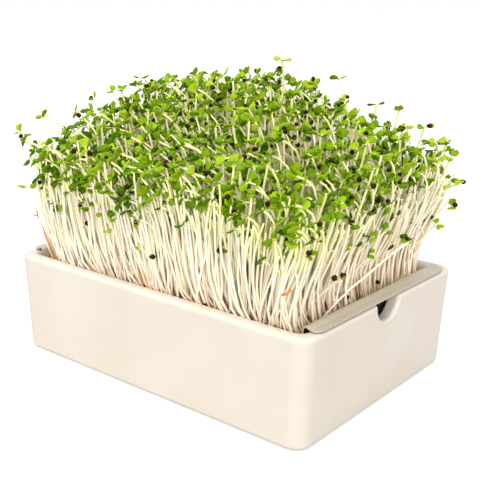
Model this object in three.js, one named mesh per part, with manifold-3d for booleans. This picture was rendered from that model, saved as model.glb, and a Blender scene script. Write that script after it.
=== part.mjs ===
// A microgreens tray: a glazed ceramic tray, a bent steel insert hung on its end walls,
// a growing mat on the insert, and a dense stand of cress-like sprouts rooted in the mat.
// Millimetres. X runs along the tray, Y across it and Z up. The origin is the middle of the base.
import * as THREE from "three";
import { mergeVertices } from "three/addons/utils/BufferGeometryUtils.js";
import Module from "manifold-3d";

const wasm = await Module();
wasm.setup();

// Ceramic tray
const TRAY_LENGTH = 180;
const TRAY_WIDTH = 133;
const TRAY_HEIGHT = 51;
const TRAY_TAPER = 1.9;
const TRAY_WALL = 7;
const TRAY_FLOOR = 6;
const OUTER_CORNER = 8;
const INNER_CORNER = 3.5;
const RIM_ROUND = 2.8;
const FOOT_ROUND = 2;
const FLOOR_ROUND = 3;
const CORNER_STEPS = 4;

// Half-round notch in the middle of each end wall
const NOTCH_RADIUS = 9.5;
const NOTCH_BOTTOM = 41;
const NOTCH_ROUND = 2.3;

// Bent sheet insert
const SHEET = 0.8;
const INSERT_WIDTH = 114;
const INSERT_FLOOR_TOP = 39.5;
const WEB_OUTSIDE = 82.1;
const SHEET_BEND = 2;
const FLANGE_TIP = 89.4;
const FLANGE_CORNER = 4;
const HUMP = 1.5;
const DRAIN_RADIUS = 1.8;
const DRAIN_COLUMNS = 5;
const DRAIN_ROWS = 3;

// Growing mat
const MAT_LENGTH = 152;
const MAT_WIDTH = 113;
const MAT_TOP = 43.5;
const GAP = 0.3;

// Planting: the sown field is cut into a grid of tufts, and each tuft is one body
const FIELD_HALF_X = 74;
const FIELD_HALF_Y = 55;
const COLUMNS = 7;
const ROWS = 5;
const SEED = 20117;
const OUTER_SPROUTS = 4;
const INNER_SPROUTS = 3;
const SPREAD_IN_CELL = 0.6;
const TRIES = 60;

// Shape of the canopy and the outward lean of the stems
const CANOPY_HEIGHT = 136;
const FRONT_DROP = 33;
const END_DROP = 9;
const RIGHT_DROP = 13;
const BACK_DROP = 1;
const LEAN_X = 17;
const LEAN_Y = 11;
const DRIFT_X = 2;
const DRIFT_Y = 1;
const BEND_POWER = 1.6;

// Stem bundle at the bottom of each tuft
const PLUG_RADIUS = 7.8;
const PLUG_SINK = 3;
const BUNDLE_INSET = 0.3;
const BUNDLE_BELOW_CANOPY = 26;
const BUNDLE_BANDS = [54, 74];
const BUNDLE_TOP_SHARE = 0.76;
const GROOVE = 0.8;
const CROWN = 4;

// A sprout above its bundle
const STEM_RADIUS = 0.8;
const STEM_START = 62;
const LEAF_THICKNESS = 0.8;
const LEAF_REACH = 4.6;
const LEAF_TO_LEAF = 8.2;
const LEAF_TO_STEM = 5.2;
const STEM_TO_STEM = 2.2;
const HULL_RADIUS = 1.25;
const HULL_REACH = 5.2;

// Sprouts that stand out of the canopy: the grid cell, then the place of the head
const STRAYS = [
  { column: 3, row: 3, head: [13, 18, 151] },
  { column: 4, row: 4, head: [20, 60, 140] },
  { column: 6, row: 4, head: [84, 58, 114] },
  { column: 6, row: 4, head: [89, 58, 94] },
  { column: 0, row: 4, head: [-72, 52, 137] },
  { column: 0, row: 0, head: [-93, -56, 83] },
];

const { cos, sin, abs, min, max, hypot, PI } = Math;

// One closed surface through rings of points, each ring running anticlockwise about the way forward.
function loft(rings) {
  const count = rings[0].length;
  const points = rings.flat();
  const faces = [];
  for (let r = 0; r + 1 < rings.length; r += 1) {
    for (let k = 0; k < count; k += 1) {
      const here = r * count + k;
      const next = r * count + ((k + 1) % count);
      faces.push([here, next, next + count], [here, next + count, here + count]);
    }
  }
  const middle = (ring) => [0, 1, 2].map((axis) => ring.reduce((sum, p) => sum + p[axis], 0) / count);
  const last = points.length - count;
  const start = points.push(middle(rings[0])) - 1;
  const end = points.push(middle(rings[rings.length - 1])) - 1;
  for (let k = 0; k < count; k += 1) {
    const next = (k + 1) % count;
    faces.push([start, next, k], [end, last + k, last + next]);
  }
  return geometryOf(points, faces);
}

function geometryOf(points, faces) {
  const geometry = new THREE.BufferGeometry();
  geometry.setAttribute("position", new THREE.Float32BufferAttribute(points.flat(), 3));
  geometry.setIndex(faces.flat());
  return geometry;
}

// Geometry to solid and back, for cuts and joins
function solid(geometry) {
  const bare = geometry.clone();
  bare.deleteAttribute("normal");
  bare.deleteAttribute("uv");
  const merged = mergeVertices(bare, 1e-4);
  const vertProperties = merged.attributes.position.array;
  const triVerts = new Uint32Array(merged.index.array);
  return new wasm.Manifold(new wasm.Mesh({ numProp: 3, vertProperties, triVerts }));
}

function geometryFrom(body) {
  const mesh = body.getMesh();
  const geometry = new THREE.BufferGeometry();
  geometry.setAttribute("position", new THREE.BufferAttribute(mesh.vertProperties, 3));
  geometry.setIndex(new THREE.BufferAttribute(mesh.triVerts, 1));
  return geometry;
}

const group = new THREE.Group();

function addPiece(name, geometry, look) {
  geometry.computeVertexNormals();
  const mesh = new THREE.Mesh(geometry, new THREE.MeshStandardMaterial({ flatShading: true, ...look }));
  mesh.name = name;
  group.add(mesh);
}

// A rectangle with round corners at one height, anticlockwise from above
function roundedRectangle(halfX, halfY, corner, z) {
  const points = [];
  for (let quarter = 0; quarter < 4; quarter += 1) {
    const cx = (halfX - corner) * (quarter === 0 || quarter === 3 ? 1 : -1);
    const cy = (halfY - corner) * (quarter < 2 ? 1 : -1);
    for (let step = 0; step <= CORNER_STEPS; step += 1) {
      const angle = (quarter + step / CORNER_STEPS) * (PI / 2);
      points.push([cx + corner * cos(angle), cy + corner * sin(angle), z]);
    }
  }
  return points;
}

// Ceramic tray: its section runs from the foot up the outside, over the rim and down to the inner floor
function makeTray() {
  const section = [];
  const arc = (inset, z, radius, from, to, steps) => {
    for (let step = 0; step <= steps; step += 1) {
      const angle = from + ((to - from) * step) / steps;
      section.push([inset - radius * cos(angle), z + radius * sin(angle)]);
    }
  };
  arc(TRAY_TAPER + FOOT_ROUND, FOOT_ROUND, FOOT_ROUND, -PI / 2, 0, 3);
  arc(RIM_ROUND, TRAY_HEIGHT - RIM_ROUND, RIM_ROUND, 0, PI / 2, 3);
  arc(TRAY_WALL - RIM_ROUND, TRAY_HEIGHT - RIM_ROUND, RIM_ROUND, PI / 2, PI, 3);
  const floorBend = TRAY_WALL + TRAY_TAPER + FLOOR_ROUND;
  arc(floorBend, TRAY_FLOOR + FLOOR_ROUND, -FLOOR_ROUND, PI, PI / 2, 3);
  const rings = section.map(([inset, z]) => {
    const corner = max(OUTER_CORNER - inset, INNER_CORNER);
    return roundedRectangle(TRAY_LENGTH / 2 - inset, TRAY_WIDTH / 2 - inset, corner, z);
  });
  const notch = solid(notchCutter());
  const opposite = solid(notchCutter().rotateZ(PI));
  const body = solid(loft(rings)).subtract(notch).subtract(opposite);
  addPiece("tray", geometryFrom(body), { color: 0xf4e9d8, roughness: 0.32 });
}

// The notch's cutter runs along +X through the end wall, wider at both faces so that the edges are round
function notchCutter() {
  const inner = TRAY_LENGTH / 2 - TRAY_WALL;
  const outer = TRAY_LENGTH / 2;
  const outline = (x, spread) => {
    const radius = NOTCH_RADIUS + spread;
    const centre = NOTCH_BOTTOM + NOTCH_RADIUS;
    const half = [];
    for (let step = 0; step <= 6; step += 1) {
      const angle = -PI / 2 + step * (PI / 2 - 0.22) / 6;
      half.push([radius * cos(angle), centre + radius * sin(angle)]);
    }
    const [lipY, lipZ] = half[half.length - 1];
    const rise = TRAY_HEIGHT - lipZ;
    half.push([lipY + rise * 0.3, lipZ + rise * 0.7]);
    half.push([lipY + rise, TRAY_HEIGHT]);
    half.push([lipY + rise + 1, TRAY_HEIGHT + 3]);
    const mirrored = half.slice(1).reverse().map(([y, z]) => [-y, z]);
    return [...mirrored, ...half].map(([y, z]) => [x, y, z]);
  };
  const rings = [outline(inner - 1, NOTCH_ROUND)];
  for (let step = 0; step <= 3; step += 1) {
    const angle = (step / 3) * (PI / 2);
    rings.push(outline(inner + NOTCH_ROUND * (1 - cos(angle)), NOTCH_ROUND * (1 - sin(angle))));
  }
  for (let step = 3; step >= 0; step -= 1) {
    const angle = (step / 3) * (PI / 2);
    rings.push(outline(outer - NOTCH_ROUND * (1 - cos(angle)), NOTCH_ROUND * (1 - sin(angle))));
  }
  rings.push(outline(outer + 1, NOTCH_ROUND));
  return loft(rings);
}

// Steel insert: one strip of sheet, bent into a floor, two webs and two flanges that rest on the end walls
function makeInsert() {
  const rest = TRAY_HEIGHT + GAP;
  const top = rest + SHEET + HUMP;
  const web = WEB_OUTSIDE;
  const lowerBend = (radius) =>
    [0, 1, 2, 3].map((step) => {
      const angle = (step / 3 - 1) * (PI / 2);
      const centreZ = INSERT_FLOOR_TOP - SHEET + SHEET_BEND;
      return [web - SHEET_BEND + radius * cos(angle), centreZ + radius * sin(angle)];
    });
  // Under the flange from the web to the tip, then back over the hump at the inner bend
  const flange = [
    [web, rest + 0.4],
    [web + 0.6, rest + 0.9],
    [web + 1.4, rest + 0.8],
    [web + 3, rest],
    [FLANGE_TIP, rest],
    [FLANGE_TIP, rest + SHEET],
    [web + 3.2, rest + SHEET],
    [web + 1.7, top - 0.5],
    [web + 0.6, top],
    [web - SHEET + 0.5, top - 0.4],
    [web - SHEET, top - 1.2],
  ];
  const right = [...lowerBend(SHEET_BEND), ...flange, ...lowerBend(SHEET_BEND - SHEET).reverse()];
  const left = right.map(([x, z]) => [-x, z]).reverse();
  const shape = new THREE.Shape([...right, ...left].map(([x, z]) => new THREE.Vector2(x, z)));
  const strip = new THREE.ExtrudeGeometry(shape, { depth: INSERT_WIDTH, bevelEnabled: false });
  strip.translate(0, 0, -INSERT_WIDTH / 2);
  strip.rotateX(PI / 2);
  const plan = [0, TRAY_HEIGHT * 2].map((z) =>
    roundedRectangle(FLANGE_TIP, INSERT_WIDTH / 2, FLANGE_CORNER, z),
  );
  let body = solid(strip).intersect(solid(loft(plan)));
  for (let column = 0; column < DRAIN_COLUMNS; column += 1) {
    for (let row = 0; row < DRAIN_ROWS; row += 1) {
      const x = ((column + 0.5) / DRAIN_COLUMNS - 0.5) * MAT_LENGTH;
      const y = ((row + 0.5) / DRAIN_ROWS - 0.5) * MAT_WIDTH;
      const drain = new THREE.CylinderGeometry(DRAIN_RADIUS, DRAIN_RADIUS, SHEET * 4, 6);
      drain.rotateX(PI / 2).translate(x, y, INSERT_FLOOR_TOP);
      body = body.subtract(solid(drain));
    }
  }
  addPiece("insert", geometryFrom(body), { color: 0xc4bba2, roughness: 0.35, metalness: 1 });
}

// Seeded draws, alike in every run
function makeDraw(seed) {
  let state = seed;
  return (low = 0, high = 1) => {
    state = (Math.imul(state, 1664525) + 1013904223) >>> 0;
    return low + ((high - low) * state) / 4294967296;
  };
}

// The planting rule. A place in the field is (u, v), each from -1 to 1.
function canopyHeight(u, v) {
  const front = FRONT_DROP * ((1 - v) / 2) ** 1.7;
  const ends = END_DROP * abs(u) ** 3 + RIGHT_DROP * max(u, 0) ** 2;
  return CANOPY_HEIGHT - front - ends - BACK_DROP * max(v, 0) ** 4;
}

// Where the stem rooted at (u, v) passes at height z: it leans outward, most at the edges of the field
function flow(u, v, z) {
  const up = max((z - MAT_TOP) / (canopyHeight(u, v) - MAT_TOP), 0);
  const lean = u < 0 ? up ** BEND_POWER : up;
  const sweep = 1 - max(1 - up, 0) ** BEND_POWER;
  return [
    FIELD_HALF_X * u + (LEAN_X * u * abs(u) - DRIFT_X) * lean,
    FIELD_HALF_Y * v + (LEAN_Y * v * abs(v) - DRIFT_Y) * sweep,
    z,
  ];
}

// Shortest distance between the straight pieces ab and cd
function separation(a, b, c, d) {
  const minus = (p, q) => [p[0] - q[0], p[1] - q[1], p[2] - q[2]];
  const dot = (p, q) => p[0] * q[0] + p[1] * q[1] + p[2] * q[2];
  const along = minus(b, a);
  const across = minus(d, c);
  const from = minus(a, c);
  const aa = dot(along, along);
  const cc = dot(across, across);
  const ac = dot(along, across);
  const fa = dot(along, from);
  const fc = dot(across, from);
  const clamp = (value) => min(max(value, 0), 1);
  const spread = aa * cc - ac * ac;
  let s = spread > 1e-9 ? clamp((ac * fc - fa * cc) / spread) : 0;
  const t = clamp((ac * s + fc) / cc);
  s = clamp((ac * t - fa) / aa);
  const gap = [0, 1, 2].map((i) => from[i] + along[i] * s - across[i] * t);
  return hypot(gap[0], gap[1], gap[2]);
}

// A sprout of a tuft: its stem from inside the bundle to the head, and the head's facing
function makeSprout(draw, u, v, head) {
  const turn = draw(0, 2 * PI);
  const tilt = draw(0.05, 0.3);
  const fold = draw(0.2, 0.55);
  const size = draw(0.9, 1.12);
  const start = flow(u, v, STEM_START);
  const line = flow(u, v, head[2]);
  const middleZ = MAT_TOP + (head[2] - MAT_TOP) * 0.8;
  const middleLine = flow(u, v, middleZ);
  const middle = [
    middleLine[0] + (head[0] - line[0]) * 0.4,
    middleLine[1] + (head[1] - line[1]) * 0.4,
    middleZ,
  ];
  const reach = LEAF_REACH * size;
  const wingX = reach * cos(turn);
  const wingY = reach * sin(turn);
  return {
    start,
    middle,
    head,
    turn,
    tilt,
    fold,
    size,
    wings: [
      [head[0] - wingX, head[1] - wingY, head[2] + 1],
      [head[0] + wingX, head[1] + wingY, head[2] + 1],
    ],
  };
}

function isClear(sprout, placed) {
  return placed.every(
    (other) =>
      separation(...sprout.wings, ...other.wings) > LEAF_TO_LEAF &&
      separation(...sprout.wings, other.middle, other.head) > LEAF_TO_STEM &&
      separation(...other.wings, sprout.middle, sprout.head) > LEAF_TO_STEM &&
      separation(...sprout.wings, other.start, other.middle) > LEAF_TO_STEM &&
      separation(...other.wings, sprout.start, sprout.middle) > LEAF_TO_STEM &&
      separation(sprout.middle, sprout.head, other.middle, other.head) > STEM_TO_STEM,
  );
}

function plantField() {
  const draw = makeDraw(SEED);
  const placed = [];
  const tufts = [];
  for (let row = 0; row < ROWS; row += 1) {
    for (let column = 0; column < COLUMNS; column += 1) {
      const u = ((column + 0.5) * 2) / COLUMNS - 1;
      const v = ((row + 0.5) * 2) / ROWS - 1;
      tufts.push({ column, row, u, v, sprouts: [] });
    }
  }
  for (const stray of STRAYS) {
    const tuft = tufts[stray.row * COLUMNS + stray.column];
    const sprout = makeSprout(draw, tuft.u, tuft.v, stray.head);
    tuft.sprouts.push(sprout);
    placed.push(sprout);
  }
  for (const tuft of tufts) {
    const outer = isOuter(tuft);
    const wanted = outer ? OUTER_SPROUTS : INNER_SPROUTS;
    for (let attempt = 0; attempt < TRIES && tuft.sprouts.length < wanted; attempt += 1) {
      const u = tuft.u + draw(-SPREAD_IN_CELL, SPREAD_IN_CELL) / COLUMNS;
      const v = tuft.v + draw(-SPREAD_IN_CELL, SPREAD_IN_CELL) / ROWS;
      const z = canopyHeight(u, v) + draw(-6, 7) - 12 * draw() ** 3;
      const along = flow(u, v, z);
      const head = [along[0] + draw(-5, 5), along[1] + draw(-5, 5), z];
      const sprout = makeSprout(draw, u, v, head);
      if (isClear(sprout, placed)) {
        tuft.sprouts.push(sprout);
        placed.push(sprout);
      }
    }
  }
  return tufts;
}

function isOuter(tuft) {
  return tuft.column === 0 || tuft.column === COLUMNS - 1 || tuft.row === 0 || tuft.row === ROWS - 1;
}

// Growing mat, with a plain hole for the roots of each tuft
function makeMat(tufts) {
  const bottom = INSERT_FLOOR_TOP + GAP;
  const slab = new THREE.BoxGeometry(MAT_LENGTH, MAT_WIDTH, MAT_TOP - bottom);
  slab.translate(0, 0, (MAT_TOP + bottom) / 2);
  let body = solid(slab);
  const holeRadius = (PLUG_RADIUS + GAP) / cos(PI / 6);
  for (const tuft of tufts) {
    const hole = new THREE.CylinderGeometry(holeRadius, holeRadius, 20, 6);
    hole.rotateX(PI / 2).translate(FIELD_HALF_X * tuft.u, FIELD_HALF_Y * tuft.v, MAT_TOP);
    body = body.subtract(solid(hole));
  }
  addPiece("growing_mat", geometryFrom(body), { color: 0x8a6a3c, roughness: 1 });
}

// The packed lower stems of a tuft: a plug of roots, then a bundle ridged by its outer stems
function bundleRings(tuft) {
  const count = isOuter(tuft) ? 12 : 8;
  const top = canopyHeight(tuft.u, tuft.v) - BUNDLE_BELOW_CANOPY;
  const plug = (z) => {
    const ring = [];
    for (let k = 0; k < count; k += 1) {
      const angle = (2 * PI * k) / count;
      const x = FIELD_HALF_X * tuft.u + PLUG_RADIUS * cos(angle);
      const y = FIELD_HALF_Y * tuft.v + PLUG_RADIUS * sin(angle);
      ring.push([x, y, z]);
    }
    return ring;
  };
  // Every second point is a groove, and at the top the ridges end higher, as a crown
  const band = (z, share, crown = 0) => {
    const ring = [];
    for (let k = 0; k < count; k += 1) {
      const angle = (2 * PI * k) / count;
      const square = (cos(angle) ** 4 + sin(angle) ** 4) ** 0.25;
      const isRidge = k % 2 === 1;
      const reach = (share * (isRidge ? 1 : GROOVE)) / square;
      const du = reach * cos(angle) * (1 / COLUMNS - BUNDLE_INSET / FIELD_HALF_X);
      const dv = reach * sin(angle) * (1 / ROWS - BUNDLE_INSET / FIELD_HALF_Y);
      ring.push(flow(tuft.u + du, tuft.v + dv, isRidge ? z + crown : z - crown));
    }
    return ring;
  };
  const rings = [plug(MAT_TOP - PLUG_SINK), plug(MAT_TOP + GAP)];
  for (const z of BUNDLE_BANDS.filter((height) => height < top - CROWN - 1)) {
    rings.push(band(z, 1));
  }
  rings.push(band(top, BUNDLE_TOP_SHARE, CROWN));
  return rings;
}

// A stem of three sides through its points
function stemSolid(points) {
  const rings = points.map(([x, y, z]) =>
    [0, 1, 2].map((k) => {
      const angle = (2 * PI * k) / 3;
      return [x + STEM_RADIUS * cos(angle), y + STEM_RADIUS * sin(angle), z];
    }),
  );
  return solid(loft(rings));
}

// A pair of notched seed leaves in one blade, folded up on both sides of the stem's tip
function leafPairSolid(sprout) {
  // Anticlockwise from the stalk round one leaf, whose notch is at its tip, then round the other
  const one = [
    [0, -0.95],
    [3.5, -3.4],
    [6.9, -2.5],
    [5.9, 0],
    [6.9, 2.5],
    [3.5, 3.4],
  ];
  const flat = [...one, ...one.map(([x, y]) => [-x, -y])];
  const place = new THREE.Matrix4()
    .makeTranslation(...sprout.head)
    .multiply(new THREE.Matrix4().makeRotationZ(sprout.turn))
    .multiply(new THREE.Matrix4().makeRotationX(sprout.tilt));
  const at = ([x, y], drop) => {
    const lift = sprout.fold * abs(x) - drop;
    const point = new THREE.Vector3(x * sprout.size, y * sprout.size, lift * sprout.size);
    return point.applyMatrix4(place).toArray();
  };
  const count = flat.length;
  const points = [...flat.map((p) => at(p, 0)), ...flat.map((p) => at(p, LEAF_THICKNESS))];
  const faces = [];
  // Each half is a fan about its notch, which sees all of its own points
  const halves = [
    [3, [4, 5, 6, 0, 1, 2]],
    [9, [10, 11, 0, 6, 7, 8]],
  ];
  for (const [notch, others] of halves) {
    for (let k = 0; k + 1 < others.length; k += 1) {
      faces.push([notch, others[k], others[k + 1]]);
      faces.push([notch + count, others[k + 1] + count, others[k] + count]);
    }
  }
  for (let k = 0; k < count; k += 1) {
    const next = (k + 1) % count;
    faces.push([k, k + count, next + count], [k, next + count, next]);
  }
  return solid(geometryOf(points, faces));
}

function makeTuft(tuft) {
  let body = solid(loft(bundleRings(tuft)));
  tuft.sprouts.forEach((sprout, index) => {
    const tip = [sprout.head[0], sprout.head[1], sprout.head[2] - 0.35];
    body = body.add(stemSolid([sprout.start, sprout.middle, tip]));
    body = body.add(leafPairSolid(sprout));
    if (index === 1) {
      const hull = new THREE.OctahedronGeometry(HULL_RADIUS);
      const reach = HULL_REACH * sprout.size;
      const x = sprout.head[0] + reach * cos(sprout.turn);
      const y = sprout.head[1] + reach * sin(sprout.turn);
      hull.translate(x, y, sprout.head[2] + sprout.fold * reach + 0.3);
      body = body.add(solid(hull));
    }
  });
  const name = `sprout_tuft_${tuft.row + 1}_${tuft.column + 1}`;
  addPiece(name, geometryFrom(body), { color: 0x9fb64a, roughness: 0.6 });
}

makeTray();
makeInsert();
const tufts = plantField();
makeMat(tufts);
tufts.forEach(makeTuft);

export default group;
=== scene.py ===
import bpy
import math
from mathutils import Matrix, Vector


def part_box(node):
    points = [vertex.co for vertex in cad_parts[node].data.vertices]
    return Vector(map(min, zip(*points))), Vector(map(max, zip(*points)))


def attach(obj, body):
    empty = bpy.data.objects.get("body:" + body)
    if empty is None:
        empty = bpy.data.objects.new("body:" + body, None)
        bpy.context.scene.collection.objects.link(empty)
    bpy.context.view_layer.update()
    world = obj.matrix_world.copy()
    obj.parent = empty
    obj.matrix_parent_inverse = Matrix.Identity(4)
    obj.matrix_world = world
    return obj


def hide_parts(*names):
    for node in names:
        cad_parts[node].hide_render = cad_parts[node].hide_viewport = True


# A microgreens tray: glazed ceramic tray, bent steel insert, growing mat and a dense stand of sprouts.
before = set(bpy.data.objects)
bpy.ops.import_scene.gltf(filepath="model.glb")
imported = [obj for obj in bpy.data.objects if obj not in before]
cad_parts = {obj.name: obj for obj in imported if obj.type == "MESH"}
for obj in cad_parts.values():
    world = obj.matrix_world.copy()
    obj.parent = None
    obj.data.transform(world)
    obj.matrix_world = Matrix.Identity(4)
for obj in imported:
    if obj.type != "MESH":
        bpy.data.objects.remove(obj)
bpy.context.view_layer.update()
mm = 0.001
print("frame loaded")


# Helpers

def pick(piece):
    bpy.ops.object.select_all(action="DESELECT")
    piece.select_set(True)
    bpy.context.view_layer.objects.active = piece


def takePrimitive(name):
    piece = bpy.context.object
    piece.name = name
    piece.data.name = name
    return piece


def placeInMesh(piece):
    pick(piece)
    bpy.ops.object.transform_apply(location=True, rotation=True, scale=True)


def applyAll(piece):
    pick(piece)
    for modifier in list(piece.modifiers):
        bpy.ops.object.modifier_apply(modifier=modifier.name)


def editMesh(piece, mode="VERT"):
    pick(piece)
    bpy.ops.object.mode_set(mode="EDIT")
    bpy.ops.mesh.select_mode(type=mode)
    bpy.ops.mesh.select_all(action="DESELECT")
    bpy.ops.object.mode_set(mode="OBJECT")


def selectWhere(piece, kind, test):
    editMesh(piece, {"vertices": "VERT", "edges": "EDGE"}[kind])
    for item in getattr(piece.data, kind):
        item.select = test(item)


def edgeMiddle(piece, edge):
    a, b = (piece.data.vertices[index].co for index in edge.vertices)
    return (a + b) / 2


def edgeAlong(piece, edge):
    a, b = (piece.data.vertices[index].co for index in edge.vertices)
    return (b - a).normalized()


def inEdit(operator, **settings):
    bpy.ops.object.mode_set(mode="EDIT")
    operator(**settings)
    bpy.ops.object.mode_set(mode="OBJECT")


def smooth(piece, angle=40):
    pick(piece)
    bpy.ops.object.shade_smooth_by_angle(angle=math.radians(angle))


def faceOutwards(piece):
    editMesh(piece, "FACE")
    inEdit(bpy.ops.mesh.select_all, action="SELECT")
    inEdit(bpy.ops.mesh.normals_make_consistent, inside=False)


def roundEdges(piece, width, segments, angle, clamp=True):
    rounding = piece.modifiers.new("rounding", "BEVEL")
    rounding.width = width * mm
    rounding.segments = segments
    rounding.limit_method = "ANGLE"
    rounding.angle_limit = math.radians(angle)
    rounding.use_clamp_overlap = clamp


def putInScene(thing):
    bpy.context.scene.collection.objects.link(thing)


def cutWith(piece, cutter):
    cut = piece.modifiers.new("cut", "BOOLEAN")
    cut.operation = "DIFFERENCE"
    cut.solver = "EXACT"
    cut.object = cutter
    applyAll(piece)
    bpy.data.objects.remove(cutter, do_unlink=True)


generator = {"factor": 1664525, "step": 1013904223, "span": 2 ** 32}


def makeDraw(seed):
    # Draws numbers from low to high, the same ones in every run
    state = seed

    def draw(low=0.0, high=1.0):
        nonlocal state
        state = (state * generator["factor"] + generator["step"]) % generator["span"]
        return low + (high - low) * state / generator["span"]

    return draw


def aside(draw, across, along=None):
    # A level step drawn from one range in X and then, from the same or another, in Y
    return Vector((draw(*across), draw(*(along or across)), 0))


# Materials

def linear(hexColour):
    # An sRGB hex colour turned to the linear values that the shader takes
    channels = [int(hexColour[i:i + 2], 16) / 255 for i in (1, 3, 5)]
    return [c / 12.92 if c <= 0.04045 else ((c + 0.055) / 1.055) ** 2.4 for c in channels] + [1.0]


def newMaterial(name):
    material = bpy.data.materials.new(name)
    material.use_nodes = True
    nodes = material.node_tree.nodes
    return material, material.node_tree, nodes["Principled BSDF"]


def setInputs(node, values):
    for key, value in values.items():
        node.inputs[key].default_value = value


def addNode(tree, kind, settings=None, inputs=None, links=None):
    node = tree.nodes.new("ShaderNode" + kind)
    for key, value in (settings or {}).items():
        setattr(node, key, value)
    setInputs(node, inputs or {})
    for key, source in (links or {}).items():
        tree.links.new(source, node.inputs[key])
    return node


def addRamp(tree, source, stops):
    ramp = addNode(tree, "ValToRGB", links={"Fac": source})
    elements = ramp.color_ramp.elements
    while len(elements) < len(stops):
        elements.new(0.5)
    for element, (position, colour) in zip(elements, stops):
        element.position = position
        element.color = linear(colour)
    return ramp


def grained(name, noise, stops, relief=None, stretch=(1.0, 1.0, 1.0)):
    # A material whose colour follows one grain, which may also stand out as a relief: strength and mm
    material, tree, shader = newMaterial(name)
    place = addNode(tree, "TexCoord").outputs["Object"]
    laid = addNode(tree, "Mapping", inputs={"Scale": stretch}, links={"Vector": place})
    grain = addNode(tree, "TexNoise", {"name": "grain"}, noise, {"Vector": laid.outputs["Vector"]})
    tint = addRamp(tree, grain.outputs["Fac"], stops)
    tree.links.new(tint.outputs["Color"], shader.inputs["Base Color"])
    if relief:
        bump = addNode(tree, "Bump", inputs={"Strength": relief[0], "Distance": relief[1] * mm},
                       links={"Height": grain.outputs["Fac"]})
        tree.links.new(bump.outputs["Normal"], shader.inputs["Normal"])
    return material, shader


def glazedStoneware():
    # Slip-cast stoneware under a satin cream glaze: even, soft highlights, faintly warmer in patches
    look = {"body": "#D4CABC", "warm": "#D2C6B7", "pale": "#D7CEC1", "patch": 38, "pinhole": 1.2}
    material, shader = grained(
        "satinCreamGlaze", {"Scale": 1000 / look["patch"], "Detail": 3.0, "Roughness": 0.5},
        [(0.3, look["warm"]), (0.5, look["body"]), (0.72, look["pale"])])
    tree = material.node_tree
    place = addNode(tree, "TexCoord").outputs["Object"]
    pinholes = addNode(tree, "TexNoise", inputs={"Scale": 1000 / look["pinhole"], "Detail": 2.0},
                       links={"Vector": place})
    wobble = addNode(tree, "Bump", inputs={"Strength": 0.05, "Distance": 0.2 * mm},
                     links={"Height": pinholes.outputs["Fac"]})
    tree.links.new(wobble.outputs["Normal"], shader.inputs["Normal"])
    setInputs(shader, {"Roughness": 0.42, "IOR": 1.5, "Coat Weight": 0.35, "Coat Roughness": 0.25})
    return material


def brushedStainless():
    # Thin stainless sheet with a fine brushed grain along the flange, which stretches its highlights
    look = {"steel": "#CAC2B2", "dark": "#C5BDAC", "grainWidth": 0.35, "grainLength": 14}
    across, along = 1000 / look["grainWidth"], 1000 / look["grainLength"]
    material, shader = grained(
        "brushedStainlessSheet", {"Scale": 1.0, "Detail": 3.0},
        [(0.25, look["dark"]), (0.75, look["steel"])], relief=(0.1, 0.03), stretch=(across, along, across))
    tree = material.node_tree
    gloss = addNode(tree, "MapRange",
                    inputs={"From Min": 0.3, "From Max": 0.7, "To Min": 0.55, "To Max": 0.63},
                    links={"Value": tree.nodes["grain"].outputs["Fac"]})
    tree.links.new(gloss.outputs["Result"], shader.inputs["Roughness"])
    shader.inputs["Metallic"].default_value = 0.75
    return material


def shadedSteel():
    # The same sheet's underside and web, painted near black as shade: the dark colour stands in for the
    # shadow under the flanges and behind the notches; unpolished, with hardly any shine
    material, shader = grained("stainedSteelUnderside", {"Scale": 150.0, "Detail": 3.0},
                               [(0.3, "#1C1712"), (0.7, "#3A2F20")])
    setInputs(shader, {"Metallic": 0.6, "Roughness": 0.6})
    return material


def coirMat():
    # Pressed coconut fibre, damp and golden brown; its colour follows the fibre relief and is darkest in
    # the gaps between fibres, partly the fibres' own tone and partly painted shade in those hollows
    look = {"fibre": "#B98B4A", "light": "#D9B374", "gap": "#4A2F14", "fibreWidth": 0.9}
    material, shader = grained(
        "pressedCoirFibre", {"Scale": 1000 / look["fibreWidth"] / 3, "Detail": 5.0, "Distortion": 2.5},
        [(0.36, look["gap"]), (0.5, look["fibre"]), (0.68, look["light"])], relief=(0.9, 0.6))
    shader.inputs["Roughness"].default_value = 0.9
    return material


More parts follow.
